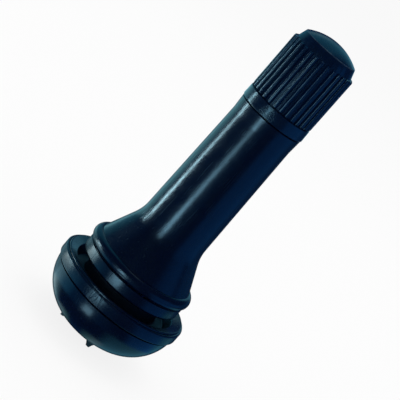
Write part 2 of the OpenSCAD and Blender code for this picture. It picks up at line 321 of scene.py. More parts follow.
class Nodes:
    """The nodes of a material or a world, added and linked step by step."""

    def __init__(self, owner):
        owner.use_nodes = True
        self.tree = owner.node_tree
        self.tree.nodes.clear()

    def add(self, kind, **settings):
        """A node with its settings."""
        made = self.tree.nodes.new(kind)
        for key, value in settings.items():
            setattr(made, key, value)
        return made

    def link(self, source, output, target, socket):
        """A link between two sockets by name or number."""
        self.tree.links.new(source.outputs[output], target.inputs[socket])

    def show(self, shader, kind):
        """Links a shader to an output node."""
        self.link(shader, 0, self.add(kind), "Surface")

    def math(self, operation, first, second):
        """A step between two values, each a node's output or a number."""
        step = self.add("ShaderNodeMath", operation=operation)
        for i, value in enumerate((first, second)):
            if isinstance(value, tuple):
                self.link(*value, step, i)
            else:
                step.inputs[i].default_value = value
        return step

    def mix(self, share, first, second):
        """A shader between two, by a share."""
        mixed = self.add("ShaderNodeMixShader")
        for i, source in enumerate((share, first, second)):
            self.link(source, 0, mixed, i)
        return mixed


class Finish(Nodes):
    """A node material on Object coordinates."""

    def __init__(self, name):
        self.material = bpy.data.materials.new(name)
        super().__init__(self.material)
        self.shader = self.add("ShaderNodeBsdfPrincipled")
        self.show(self.shader, "ShaderNodeOutputMaterial")
        self.place = self.add("ShaderNodeTexCoord")

    def set(self, **sockets):
        """Constants on the shader's own sockets."""
        for name, value in sockets.items():
            self.shader.inputs[name.replace("_", " ")].default_value = value

    def stretched(self, x, y, z):
        """Object coordinates scaled by axis."""
        mapping = self.add("ShaderNodeMapping")
        mapping.inputs["Scale"].default_value = (x, y, z)
        self.link(self.place, "Object", mapping, "Vector")
        return mapping

    def noise(self, size, detail, stretch=(1, 1, 1)):
        """Noise whose patches are about a size in millimetres."""
        texture = self.add("ShaderNodeTexNoise")
        texture.inputs["Scale"].default_value = 1 / (size * MM)
        texture.inputs["Detail"].default_value = detail
        self.link(self.stretched(*stretch), "Vector", texture, "Vector")
        return texture

    def ramp(self, source, output, low, high, first, last):
        """A value that goes from first to last while the source goes from low to high."""
        scaled = self.add("ShaderNodeMapRange")
        scaled.inputs["From Min"].default_value = low
        scaled.inputs["From Max"].default_value = high
        scaled.inputs["To Min"].default_value = first
        scaled.inputs["To Max"].default_value = last
        self.link(source, output, scaled, "Value")
        return scaled

    def spread(self, texture, first=0, last=1, low=0.3, high=0.7):
        """A value that goes from first to last over the middle of a noise."""
        return self.ramp(texture, "Fac", low, high, first, last)

    def colours(self, factor, first, second):
        """A colour between two, by a factor."""
        mixed = self.add("ShaderNodeMix", data_type="RGBA")
        mixed.inputs[MIX_UNDER].default_value = (*first, 1)
        mixed.inputs[MIX_OVER].default_value = (*second, 1)
        self.link(factor, 0, mixed, MIX_FACTOR)
        return mixed

    def colour_over(self, under, mask, colour):
        """A colour laid over a mix of colours where a mask is 1."""
        mixed = self.add("ShaderNodeMix", data_type="RGBA")
        mixed.inputs[MIX_OVER].default_value = (*colour, 1)
        self.link(under, MIX_RESULT, mixed, MIX_UNDER)
        self.link(mask, 0, mixed, MIX_FACTOR)
        return mixed

    def fading(self, distance, reach):
        """A mask that is 1 near by and fades to 0 where a distance comes to a reach in mm."""
        return self.ramp(distance, "Value", FULL_SHARE * reach * MM, reach * MM, 1, 0)

    def spot(self, place, reach):
        """A mask round a place in millimetres."""
        off = self.add("ShaderNodeVectorMath", operation="DISTANCE")
        off.inputs[1].default_value = at_mm(*place)
        self.link(self.place, "Object", off, 0)
        return self.fading(off, reach)

    def height(self):
        """The Object coordinates apart, for their Z."""
        axes = self.add("ShaderNodeSeparateXYZ")
        self.link(self.place, "Object", axes, "Vector")
        return axes

    def hoop(self, radius, level, reach):
        """A mask round a circle about the axis, at a level, in millimetres."""
        from_axis = self.add("ShaderNodeVectorMath", operation="LENGTH")
        self.link(self.stretched(1, 1, 0), "Vector", from_axis, 0)
        outward = self.math("SUBTRACT", (from_axis, "Value"), radius * MM)
        upward = self.math("SUBTRACT", (self.height(), "Z"), level * MM)
        section = self.add("ShaderNodeCombineXYZ")
        self.link(outward, 0, section, "X")
        self.link(upward, 0, section, "Y")
        off = self.add("ShaderNodeVectorMath", operation="LENGTH")
        self.link(section, "Vector", off, 0)
        return self.fading(off, reach)

    def between(self, low, high, fade):
        """A mask that is 1 between two heights in millimetres and fades to 0 past them."""
        axes = self.height()
        above = self.ramp(axes, "Z", (low - fade) * MM, low * MM, 0, 1)
        below = self.ramp(axes, "Z", high * MM, (high + fade) * MM, 1, 0)
        return self.math("MULTIPLY", (above, 0), (below, 0))

    def edge_haze(self, start, end, haze):
        """Extra roughness where the skin turns edge-on, as a moulded skin has."""
        turned_away = self.add("ShaderNodeLayerWeight")
        return self.ramp(turned_away, "Facing", start, end, 0, haze)

    def bump(self, height, depth, under=None):
        """A bump of a depth in millimetres, laid over another bump."""
        relief = self.add("ShaderNodeBump")
        relief.inputs["Distance"].default_value = depth * MM
        self.link(height, 0, relief, "Height")
        if under:
            self.link(under, "Normal", relief, "Normal")
        return relief

    def wear(self, colour, roughness, relief):
        """Links the shader's colour, roughness and bumps."""
        self.link(colour, MIX_RESULT, self.shader, "Base Color")
        self.link(roughness, 0, self.shader, "Roughness")
        self.link(relief, "Normal", self.shader, "Normal")


def moulded_rubber():
    """Black satin rubber with faint mottling, fine grain, scratches and two scuffs."""
    rubber = Finish("moulded_rubber")
    dark = (0.0001, 0.0009, 0.0078)
    light = (0.0001, 0.0013, 0.0098)
    scratched = 0.12
    scuffed = 0.2
    dulled = 0.4
    colour = rubber.colours(rubber.spread(rubber.noise(3.5, 4)), dark, light)
    strokes = rubber.spread(rubber.noise(0.3, 2, (1, 1, 0.12)), low=0.5, high=0.6)
    edge_scuff = rubber.spot((-1.9, -9.6, 0.85), reach=1.6)
    flare_scuff = rubber.spot((-3.95, -3.05, 11.7), reach=1.1)
    groove = rubber.hoop(NECK_R, level=1.2, reach=2.2)
    either = rubber.math("MAXIMUM", (edge_scuff, 0), (flare_scuff, 0))
    scuffs = rubber.math("MULTIPLY", (either, 0), (strokes, 0))
    scratches = rubber.noise(0.25, 2, (1, 1, 0.04))
    roughness = rubber.spread(rubber.noise(1.6, 5), 0.2, 0.27)
    for rougher in (
        rubber.spread(scratches, 0, scratched, low=0.64, high=0.72),
        rubber.math("MULTIPLY", (scuffs, 0), scuffed),
        rubber.edge_haze(start=0.76, end=0.88, haze=0.42),
        rubber.math("MULTIPLY", (groove, 0), dulled),
    ):
        roughness = rubber.math("ADD", (roughness, 0), (rougher, 0))
    grain = rubber.bump(rubber.noise(0.14, 2), depth=0.004)
    swell = rubber.bump(rubber.noise(1.1, 2), depth=0.012, under=grain)
    cuts = rubber.bump(scuffs, depth=0.03, under=swell)
    rubber.wear(rubber.colour_over(colour, scuffs, SCUFFED), roughness, cuts)
    rubber.set(IOR=1.5, Specular_IOR_Level=0.5, Specular_Tint=(0.47, 0.82, 1, 1))
    return rubber.material


def cap_plastic():
    """Black plastic with rubbed patches and a nicked skirt, with a painted sheen on the ribs and a
    painted highlight round the dome's edge.
    """
    plastic = Finish("cap_plastic")
    dark = (0.0001, 0.0022, 0.0125)
    light = (0.0002, 0.0034, 0.0175)
    # Painted sheen: a paler colour laid on the ribs in patches, for the light their fine crests
    # reflect
    painted_rib_sheen = (0.0003, 0.005, 0.025)
    # Painted highlight: a pale thin line round the dome's edge
    painted_edge_highlight = (0.018, 0.033, 0.056)
    colour = plastic.colours(plastic.spread(plastic.noise(0.7, 5)), dark, light)
    # Noise for the patches of roughness, and for where the painted sheen and the painted highlight
    # show
    rubbed = plastic.noise(0.9, 5)
    ribs = plastic.between(SKIRT_TOP + 0.2, RIB_TOP - 0.1, fade=0.2)
    # Where the painted sheen shows on the ribs, in patches
    rib_sheen_patches = plastic.spread(rubbed, 0.55, 1, low=0.35, high=0.65)
    nicks = plastic.spread(plastic.noise(0.22, 3), low=0.5, high=0.58)
    skirt_scuff = plastic.spot((-0.8, -4.8, 31.9), reach=1.3)
    scuffs = plastic.math("MULTIPLY", (skirt_scuff, 0), (nicks, 0))
    edge = plastic.hoop(CAP_EDGE_R, CAP_EDGE_Z, reach=0.12)
    # Where the painted highlight shows along the dome's edge, in patches
    edge_highlight_patches = plastic.spread(rubbed, 0.4, 1, low=0.35, high=0.55)
    # The painted rib sheen, the real scuffs and the painted edge highlight, laid over the colour
    for mask, tint in (
        (plastic.math("MULTIPLY", (ribs, 0), (rib_sheen_patches, 0)), painted_rib_sheen),
        (scuffs, SCUFFED),
        (plastic.math("MULTIPLY", (edge, 0), (edge_highlight_patches, 0)), painted_edge_highlight),
    ):
        colour = plastic.colour_over(colour, mask, tint)
    grain = plastic.bump(plastic.noise(0.1, 2), depth=0.004)
    swell = plastic.bump(plastic.noise(0.8, 2), depth=0.008, under=grain)
    cuts = plastic.bump(scuffs, depth=0.03, under=swell)
    plastic.wear(colour, plastic.spread(rubbed, 0.19, 0.27), cuts)
    plastic.set(IOR=1.5, Specular_IOR_Level=0.55, Specular_Tint=(0.42, 0.82, 1, 1))
    return plastic.material


def turned_metal(name, dull, bright, roughness):
    """Turned metal with fine tool rings, uneven colour and rubbed patches."""
    metal = Finish(name)
    colour = metal.colours(metal.spread(metal.noise(1.5, 4)), dull, bright)
    gloss = metal.spread(metal.noise(0.5, 4), roughness - 0.06, roughness + 0.08)
    tool_rings = metal.noise(0.08, 1, (0.05, 0.05, 1))
    metal.wear(colour, gloss, metal.bump(tool_rings, depth=0.003))
    metal.set(Metallic=1)
    return metal.material


def soft_seal(name, dark, light):
    """A matt sealing rubber or ring with a fine powdery grain."""
    seal = Finish(name)
    powder = seal.noise(0.3, 4)
    colour = seal.colours(seal.spread(powder, low=0.35, high=0.65), dark, light)
    grain = seal.bump(seal.noise(0.08, 2), depth=0.004)
    seal.wear(colour, seal.spread(powder, 0.5, 0.65), grain)
    return seal.material


RUBBER = moulded_rubber()
PLASTIC = cap_plastic()
BRASS = turned_metal("turned_brass", (0.5, 0.34, 0.12), (0.68, 0.49, 0.2), 0.3)
STEEL = turned_metal("spring_steel", (0.4, 0.4, 0.41), (0.55, 0.55, 0.56), 0.32)
SEAL = soft_seal("seal_rubber", (0.012, 0.012, 0.013), (0.024, 0.024, 0.026))
RING = soft_seal("ring_plastic", (0.24, 0.025, 0.02), (0.32, 0.04, 0.03))


# The moulded rubber body


def rubber_outline():
    """Half of the rubber's section, from the air hole round the outside to the brass."""
    air_hole_r = 1.6
    flat_r = 2.7
    dome_round = 6.6
    dome_fullness = 1.03
    dome_high = -0.35
    dome_steps = 30
    parting_r = 9.25
    parting_step = 0.15
    edge_low = -0.05
    edge_high = 1.55
    edge_round = 0.25
    small_round = 0.15
    lip_r = FLANGE_R - 0.35
    lip_top = 1.85
    dish_r = 8
    dish_z = 1.4
    dish_round = 0.3
    seat_r = 7.4
    neck_round = 0.4
    groove_top = 2.9
    band_r = 7.77
    band_low = 2.4
    band_round = 0.35
    band_top = 4.15
    notch_in = 0.15
    notch_up = 0.125
    bead_round = 0.95
    bead_r = 8.08
    bead_z = 5.036
    bead_start = -42
    bead_end = 82
    bead_steps = 16
    flare_r = 4.96
    flare_z = 11.1
    flare_round = 6.1
    waist_r = 4.62
    waist_z = BODY_TOP - 2.1
    waist_round = 3
    end_r = 4.74
    end_chamfer = 0.15
    bond = 0.02
    shank_r = SHANK_R + bond
    anchor_r = ANCHOR_R + bond
    anchor_top = ANCHOR_TOP + bond
    anchor_foot = ANCHOR_FOOT - bond
    tail_r = TAIL_R + bond
    thread_r = THREAD_R + bond
    dome_end = math.degrees(math.asin((dome_high - BASE_Z - dome_round) / dome_round))
    dome = arc(0, BASE_Z + dome_round, dome_round, -90, dome_end, dome_steps)
    return (
        [(air_hole_r, BASE_Z)]
        + [(flat_r + r * dome_fullness, z) for r, z in dome]
        + [
            (parting_r, dome_high + parting_step),
            (parting_r, edge_low),
            (FLANGE_R, edge_low, small_round),
            (FLANGE_R, edge_high, edge_round),
            (lip_r, edge_high),
            (lip_r, lip_top, small_round),
            (dish_r, dish_z, dish_round),
            (seat_r, 0, small_round),
            (NECK_R, 0, neck_round),
            (NECK_R, groove_top, neck_round),
            (band_r, band_low, band_round),
            (band_r, band_top),
            (band_r - notch_in, band_top + notch_up),
        ]
        + arc(bead_r - bead_round, bead_z, bead_round, bead_start, bead_end, bead_steps)
        + [
            (flare_r, flare_z, flare_round),
            (waist_r, waist_z, waist_round),
            (end_r, BODY_TOP - end_chamfer),
            (end_r - end_chamfer, BODY_TOP),
            (thread_r, BODY_TOP),
            (thread_r, THREAD_FOOT - bond),
            (shank_r, THREAD_FOOT - THREAD_RUNOUT - bond),
            (shank_r, anchor_top),
            (anchor_r, anchor_top),
            (anchor_r, anchor_foot),
            (tail_r, anchor_foot),
            (tail_r, TAIL_END - bond),
            (air_hole_r, TAIL_END - bond),
        ]
    )


def draw_gate(body, turn):
    """One torn gate, drawn out of the base's own faces: a leaning stub with a slanting end."""
    circle_r = 3.9
    root_r = 0.62
    root_z = BASE_Z + 0.1
    root_limit = BASE_Z + 1
    downward = -0.5
    narrowing = 0.72
    lean = 0.06
    steps = 3
    raggedness = 0.03
    tear = math.radians(30)
    out = Vector((math.cos(math.radians(turn)), math.sin(math.radians(turn)), 0))
    root = out * circle_r

    def under_gate(place, normal):
        """True for the base's faces that the stub grows from."""
        off = math.hypot(place.x - root.x, place.y - root.y)
        return off < root_r and normal.z < downward and place.z < root_limit

    pick_faces(body, under_gate)
    bpy.ops.transform.resize(value=(1, 1, 0), center_override=at_mm(root.x, root.y, root_z))
    drop = (BASE_Z - FLOOR_Z) / steps
    for i in range(steps):
        step = out * lean - Vector((0, 0, drop))
        bpy.ops.mesh.extrude_region_move(TRANSFORM_OT_translate={"value": step * MM})
        tip = root + out * lean * (i + 1)
        bpy.ops.transform.resize(
            value=(narrowing, narrowing, 1), center_override=at_mm(tip.x, tip.y, BASE_Z))
        bpy.ops.transform.vertex_random(offset=raggedness * MM, seed=i + 1)
    bpy.ops.transform.rotate(
        value=tear, orient_axis="X", center_override=at_mm(tip.x, tip.y, FLOOR_Z))
    bpy.ops.object.mode_set(mode="OBJECT")
    lowest = min(point.co.z for point in body.data.vertices if point.select)
    bpy.ops.object.mode_set(mode="EDIT")
    bpy.ops.transform.translate(value=(0, 0, FLOOR_Z * MM - lowest))
    bpy.ops.object.mode_set(mode="OBJECT")


def make_rubber_body():
    """The rubber body, one moulding, with the stubs of its four gates under the base."""
    gate_count = 4
    first_turn = -69
    body = turned("moulded_body", rubber_outline(), LARGE_TURN)
    for i in range(gate_count):
        draw_gate(body, first_turn + 360 / gate_count * i)
    finish_piece(body, RUBBER, "valve", "rubber", "rubber_body")


# The brass stem with its cap thread


def make_stem():
    """The turned stem: a shank with its anchor, and a mouth with the cap thread cut on it."""
    chamfer = 0.45
    mouth_round = 0.05
    hole_r = 2.62
    seat_r = 2.4
    seat_edge = 0.15
    chamber_r = 2.12
    channel_r = 1.5
    cone = 0.62
    seat_top = MOUTH_Z - 7.9
    seat_foot = seat_top - 2
    chamber_foot = PIN_FOOT - 3.2
    stem = turned("threaded_stem", [
        (channel_r, chamber_foot - cone),
        (chamber_r, chamber_foot),
        (chamber_r, seat_foot),
        (seat_r, seat_top - seat_edge),
        (seat_r, seat_top),
        (hole_r, seat_top),
        (hole_r, MOUTH_Z - chamfer),
        (hole_r + chamfer / 2, MOUTH_Z, mouth_round),
        (THREAD_ROOT_R, MOUTH_Z, mouth_round),
        (THREAD_ROOT_R, THREAD_FOOT),
        (SHANK_R, THREAD_FOOT - THREAD_RUNOUT),
        (SHANK_R, ANCHOR_TOP),
        (ANCHOR_R, ANCHOR_TOP),
        (ANCHOR_R, ANCHOR_FOOT),
        (TAIL_R, ANCHOR_FOOT),
        (TAIL_R, TAIL_END),
        (channel_r, TAIL_END),
    ], SMALL_TURN)
    turns = 12
    section = ridge(THREAD_ROOT_R - RIDGE_SUNK, THREAD_R, half_base=0.3, half_crest=0.07)
    foot = THREAD_TOP - turns * THREAD_PITCH
    join_to(stem, helix("stem_thread", section, foot, THREAD_PITCH, turns, THREAD_STEPS))
    finish_piece(stem, BRASS, "valve", "brass", "brass_stem")


# The valve core


def make_plug():
    """The core's threaded plug with the bar that the core tool turns."""
    bar_foot = PLUG_TOP - 1.8
    bar_sunk = 0.02
    bar_r = 1.9
    bar_half = 0.95
    bar_round = 0.12
    bevel = 0.25
    pin_hole_r = 0.58
    socket_r = 1.25
    socket_top = PLUG_TOP - 0.6
    barrel_r = 1.98
    barrel_top = PLUG_FOOT + 1.11
    crimp_r = 1.68
    crimp_top = PLUG_FOOT + 0.45
    root_r = PLUG_R - 0.3
    plug = turned("core_screw", [
        (crimp_r, PLUG_FOOT),
        (root_r - bevel, PLUG_FOOT),
        (root_r, PLUG_FOOT + bevel),
        (root_r, bar_foot - bevel),
        (root_r - bevel, bar_foot),
        (socket_r, bar_foot),
        (socket_r, barrel_top),
        (barrel_r, barrel_top),
        (barrel_r, crimp_top),
        (crimp_r, crimp_top),
    ], SMALL_TURN)
    bar = turned("tool_bar", [
        (socket_r, bar_foot - bar_sunk),
        (bar_r, bar_foot - bar_sunk),
        (bar_r, PLUG_TOP, bar_round),
        (pin_hole_r, PLUG_TOP),
        (pin_hole_r, socket_top),
        (socket_r, socket_top),
    ], SMALL_TURN)
    bpy.ops.object.mode_set(mode="EDIT")
    for side in (1, -1):
        bpy.ops.mesh.select_all(action="SELECT")
        bpy.ops.mesh.bisect(
            plane_co=at_mm(0, side * bar_half, 0), plane_no=(0, side, 0),
            clear_outer=True, threshold=WELD)
        close_holes()
    face_outwards()
    bpy.ops.object.mode_set(mode="OBJECT")
    core_pitch = 0.7056
    turns = 3
    steps = 48
    foot = PLUG_FOOT + 0.75
    section = ridge(root_r - RIDGE_SUNK, PLUG_R, half_base=0.27, half_crest=0.06)
    thread = helix("plug_thread", section, foot, core_pitch, turns, steps)
    join_to(plug, bar, thread)
    finish_piece(plug, BRASS, "valve", "brass", "core_plug")


def make_pin():
    """The core pin with its collar and riveted end."""
    pin_r = 0.5
    tip = 0.15
    rivet_r = 0.75
    rivet_top = PIN_FOOT + 0.4
    collar_r = 1
    collar_foot = SPRING_TOP + 0.03
    collar_top = collar_foot + 0.45
    pin = turned("core_needle", [
        (0, PIN_FOOT),
        (rivet_r - tip, PIN_FOOT),
        (rivet_r, PIN_FOOT + tip),
        (rivet_r, rivet_top),
        (pin_r, rivet_top),
        (pin_r, collar_foot),
        (collar_r, collar_foot),
        (collar_r, collar_top),
        (pin_r, collar_top),
        (pin_r, PIN_TOP, tip),
        (0, PIN_TOP),
    ], PIN_TURN)
    finish_piece(pin, BRASS, "core_pin", "brass", "core_pin")


def make_spring():
    """The core spring, drawn at rest; in the valve the pressed pin squeezes it down to its foot.
    """
    wire_r = 0.13
    wire_sides = 12
    turns = 9
    steps = 36
    last_side = 360 - 360 / wire_sides
    rise = (SPRING_TOP - SPRING_FOOT - 2 * wire_r) / turns
    wire = arc(SPRING_R - wire_r, wire_r, wire_r, 0, last_side, wire_sides - 1)
    spring = helix("coil_spring", wire, SPRING_FOOT, rise, turns, steps)
    finish_piece(spring, STEEL, "valve", "spring_steel", "core_spring")
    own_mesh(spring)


def dress_hidden_core():
    """Finishes for the core pieces whose own solids show."""
    for name, material in (
        ("core_barrel", BRASS),
        ("core_seal_ring", RING),
        ("core_cup", BRASS),
        ("core_cup_seal", SEAL),
    ):
        solid = frame["nodes"][name]
        solid.data.materials.clear()
        solid.data.materials.append(material)


# The cap


def cap_outline():
    """Half of the cap's section, round the outside and back through the hole."""
    skirt_round = 0.12
    skirt_top_r = 4.79
    edge_round = 0.2
    edge_angle = 3
    dome_steps = 14
    lead_in = 0.35
    pocket_r = SEAL_R + 0.08
    pocket_top = SEAL_TOP + 0.015
    bore_top = SEAL_FOOT - 0.5
    dome_rise = CAP_TOP - CAP_EDGE_Z
    dome_r = (CAP_EDGE_R ** 2 + dome_rise ** 2) / (2 * dome_rise)
    dome_angle = math.degrees(math.asin(CAP_EDGE_R / dome_r))
    return (
        [
            (CAP_BORE_R + lead_in, CAP_FOOT),
            (SKIRT_R, CAP_FOOT, skirt_round),
            (skirt_top_r, SKIRT_TOP, skirt_round),
            (CAP_WALL_R, SKIRT_TOP),
            (CAP_WALL_R, RIB_TOP),
            (CAP_EDGE_R, CAP_EDGE_Z, edge_round),
        ]
        + arc(0, CAP_TOP - dome_r, dome_r, 90 + edge_angle - dome_angle, 90, dome_steps)
        + [
            (0, pocket_top),
            (pocket_r, pocket_top),
            (pocket_r, SEAL_FOOT),
            (CAP_BORE_R, bore_top),
            (CAP_BORE_R, CAP_FOOT + lead_in),
        ]
    )


def make_cap():
    """The cap: a turned shell whose ribs are raised from the wall, with a thread in its hole."""
    rib_count = 30
    columns = 3
    rib_columns = 2
    rib_turn = 9.5
    rib_height = 0.41
    rib_taper = 0.1
    crest_round = 0.18
    crest_steps = 4
    wall_slack = 0.02
    steepness = 0.9
    pitch = 360 / rib_count
    cap = turned("screw_cap", cap_outline(), rib_count * columns)
    bpy.ops.object.mode_set(mode="EDIT")
    bpy.ops.mesh.select_all(action="SELECT")
    bpy.ops.transform.rotate(
        value=-math.radians(rib_turn), orient_axis="Z", center_override=(0, 0, 0))
    bpy.ops.object.mode_set(mode="OBJECT")

    def on_rib(place, normal):
        """True for the wall's faces that the ribs stand on."""
        radius = math.hypot(place.x, place.y)
        outside = Vector((place.x, place.y, 0)).dot(normal) > steepness * radius
        if not outside or abs(radius - CAP_WALL_R) > wall_slack or place.z > RIB_TOP:
            return False
        turn = math.degrees(math.atan2(place.y, place.x)) - rib_turn
        off = (turn + pitch / 2) % pitch - pitch / 2
        return abs(off) < rib_columns / 2 * pitch / columns

    pick_faces(cap, on_rib)
    bpy.ops.mesh.inset(thickness=rib_taper * MM, depth=rib_height * MM)
    bpy.ops.mesh.region_to_loop()
    bpy.ops.mesh.bevel(
        offset=crest_round * MM, segments=crest_steps, affect="EDGES", clamp_overlap=True)
    bpy.ops.object.mode_set(mode="OBJECT")
    turns = 7
    turns_short = 1.5
    crest_r = 3.52
    section = ridge(CAP_BORE_R + RIDGE_SUNK, crest_r, half_base=0.22, half_crest=0.05)
    foot = THREAD_TOP - THREAD_PITCH * (turns + turns_short)
    join_to(cap, helix("cap_thread", section, foot, THREAD_PITCH, turns, THREAD_STEPS))
    finish_piece(cap, PLASTIC, "cap", "cap_plastic", "cap")


def make_cap_seal():
    """The sealing disc in the cap's roof, with the ring that the mouth has pressed into it."""
    flat_r = 2.7
    print_inner_r = 2.95
    print_outer_r = 3.3
    print_depth = 0.06
    foot_round = 0.02
    top_round = 0.05
    seal = turned("sealing_disc", [
        (0, SEAL_FOOT),
        (flat_r, SEAL_FOOT),
        (print_inner_r, SEAL_FOOT + print_depth),
        (print_outer_r, SEAL_FOOT + print_depth),
        (SEAL_R, SEAL_FOOT + foot_round, foot_round),
        (SEAL_R, SEAL_TOP, top_round),
        (0, SEAL_TOP),
    ], SMALL_TURN)
    finish_piece(seal, SEAL, "cap_seal", "seal_rubber", "cap_seal")


# The camera, floor and lights


def make_camera():
    """The camera looks down on the valve and is rolled, so the valve leans in the picture."""
    aim_z = 16.98
    distance = 176.93
    look_down = math.radians(14.136)
    roll = math.radians(41.164)
    lens = bpy.data.cameras.new("camera")
    lens.sensor_width = 36
    lens.lens = 122.09
    lens.clip_start = 0.01
    lens.clip_end = 20
    camera = bpy.data.objects.new("camera", lens)
    bpy.context.scene.collection.objects.link(camera)
    back = Vector((0, -math.cos(look_down), math.sin(look_down)))
    level = Vector((1, 0, 0))
    upright = Vector((0, math.sin(look_down), math.cos(look_down)))
    right = level * math.cos(roll) + upright * math.sin(roll)
    up = upright * math.cos(roll) - level * math.sin(roll)
    turn = Matrix((right, up, back)).transposed().to_4x4()
    camera.matrix_world = Matrix.Translation(at_mm(0, 0, aim_z) + back * distance * MM) @ turn
    bpy.context.scene.camera = camera


def background_seen(nodes):
    """A node that is 1 for the rays that show the background: camera, glossy and transmission."""
    path = nodes.add("ShaderNodeLightPath")
    either = nodes.math("MAXIMUM", (path, "Is Camera Ray"), (path, "Is Glossy Ray"))
    return nodes.math("MAXIMUM", (either, 0), (path, "Is Transmission Ray"))


def make_floor():
    """A wide pale floor, white to the camera, that keeps the valve's shadow."""
    width_in_metres = 6
    white_share = 0.85
    deselect()
    bpy.ops.mesh.primitive_plane_add(size=width_in_metres)
    floor = bpy.context.object
    floor.name = "floor"
    bpy.ops.object.mode_set(mode="EDIT")
    bpy.ops.mesh.select_all(action="SELECT")
    bpy.ops.transform.translate(value=at_mm(0, 0, FLOOR_Z))
    bpy.ops.object.mode_set(mode="OBJECT")
    paper = bpy.data.materials.new("pale_paper")
    nodes = Nodes(paper)
    matt = nodes.add("ShaderNodeBsdfDiffuse")
    matt.inputs["Color"].default_value = (0.86, 0.86, 0.86, 1)
    glow = nodes.add("ShaderNodeEmission")
    glow.inputs["Strength"].default_value = 1
    share = nodes.math("MULTIPLY", (background_seen(nodes), 0), white_share)
    nodes.show(nodes.mix(share, matt, glow), "ShaderNodeOutputMaterial")
    floor.data.materials.append(paper)


def make_world():
    """A dim even light all round, white where the camera or a reflection sees it."""
    world = bpy.data.worlds.new("studio")
    bpy.context.scene.world = world
    nodes = Nodes(world)
    dim = nodes.add("ShaderNodeBackground")
    dim.inputs["Color"].default_value = (0.8, 0.8, 0.8, 1)
    dim.inputs["Strength"].default_value = 0.9
    white = nodes.add("ShaderNodeBackground")
    white.inputs["Color"].default_value = (1, 1, 1, 1)
    white.inputs["Strength"].default_value = 1
    nodes.show(nodes.mix(background_seen(nodes), dim, white), "ShaderNodeOutputWorld")


def towards(azimuth, distance):
    """A place on the floor in mm. Azimuth 0 is the camera's side, and 90 is to the right."""
    turn = math.radians(azimuth)
    return Vector((math.sin(turn), -math.cos(turn), 0)) * distance


def lamp(name, width, height, place, facing, up, brightness):
    """A soft rectangular lamp at a place in mm, as bright as its share of white."""
    watts_for_white = 4
    light = bpy.data.lights.new(name, "AREA")
    light.shape = "RECTANGLE"
    light.size = width * MM
    light.size_y = height * MM
    light.energy = watts_for_white * light.size * light.size_y * brightness
    soft = bpy.data.objects.new(name, light)
    bpy.context.scene.collection.objects.link(soft)
    back = -Vector(facing).normalized()
    right = Vector(up).cross(back).normalized()
    turn = Matrix((right, back.cross(right), back)).transposed().to_4x4()
    soft.matrix_world = Matrix.Translation(at_mm(*place)) @ turn
    soft.visible_camera = False
    return soft


def glow_on_reflections(card, colour):
    """Makes a card glow, but only where a reflection sees it."""
    surface = bpy.data.materials.new(card.name)
    nodes = Nodes(surface)
    shine = nodes.add("ShaderNodeEmission")
    nodes.link(colour(nodes), "Color", shine, "Color")
    nodes.show(shine, "ShaderNodeOutputMaterial")
    card.data.materials.append(surface)
    card.visible_camera = False
    card.visible_diffuse = False
    card.visible_shadow = False


def colour_run(nodes, factor, output, stops):
    """A smooth run of colours along a factor, from (position, colour) pairs in rising order."""
    run = nodes.add("ShaderNodeValToRGB")
    elements = run.color_ramp.elements
    while len(elements) < len(stops):
        elements.new(1)
    for element, (position, colour) in zip(elements, stops):
        element.position = position
        element.color = (*colour, 1)
    nodes.link(factor, output, run, "Fac")
    return run


def ring_card(name, outline, glows):
    """A card all round the valve. Its glow runs from colour to colour with the azimuth."""
    seam = -90
    card = draw_line(name, [Vector((r, 0, z)) for r, z in outline])
    spin(CARD_TURN)
    bpy.ops.object.mode_set(mode="OBJECT")

    def by_azimuth(nodes):
        """The colour at each angle round the valve's axis."""
        place = nodes.add("ShaderNodeTexCoord")
        turn = nodes.add("ShaderNodeTexGradient", gradient_type="RADIAL")
        nodes.link(place, "Object", turn, "Vector")
        stops = [((azimuth - seam) / 360, colour) for azimuth, colour in glows]
        return colour_run(nodes, turn, "Fac", stops)

    glow_on_reflections(card, by_azimuth)


def streak_card(name, near, far, rise, tint, glows):
    """A narrow card on the floor that may turn up at its far end.

    Each end is an azimuth, half a spread and a reach. The glows are strengths by their reach.
    """
    lift = Vector((0, 0, FLOOR_Z + 0.3))
    far_reach = far[2]
    far_end = 0.9 * far_reach * MM
    corners = []
    for (azimuth, spread, reach), sides in ((near, (-1, 1)), (far, (1, -1))):
        corners += [towards(azimuth + side * spread, reach) + lift for side in sides]
    card = draw_line(name, corners)
    bpy.ops.mesh.edge_face_add()
    if rise:
        bpy.ops.mesh.select_mode(type="EDGE")
        bpy.ops.mesh.select_all(action="DESELECT")
        bpy.ops.object.mode_set(mode="OBJECT")
        points = card.data.vertices
        for edge in card.data.edges:
            edge.select = all(points[i].co.length > far_end for i in edge.vertices)
        bpy.ops.object.mode_set(mode="EDIT")
        bpy.ops.mesh.extrude_edges_move(TRANSFORM_OT_translate={"value": at_mm(0, 0, rise)})
    bpy.ops.object.mode_set(mode="OBJECT")

    def by_reach(nodes):
        """The tint, stronger or weaker with the distance from the valve."""
        place = nodes.add("ShaderNodeTexCoord")
        reach = nodes.add("ShaderNodeVectorMath", operation="LENGTH")
        nodes.link(place, "Object", reach, 0)
        share = nodes.math("DIVIDE", (reach, "Value"), far_reach * MM)
        stops = [(r / far_reach, [part * glow for part in tint]) for r, glow in glows]
        return colour_run(nodes, share, 0, stops)

    glow_on_reflections(card, by_reach)


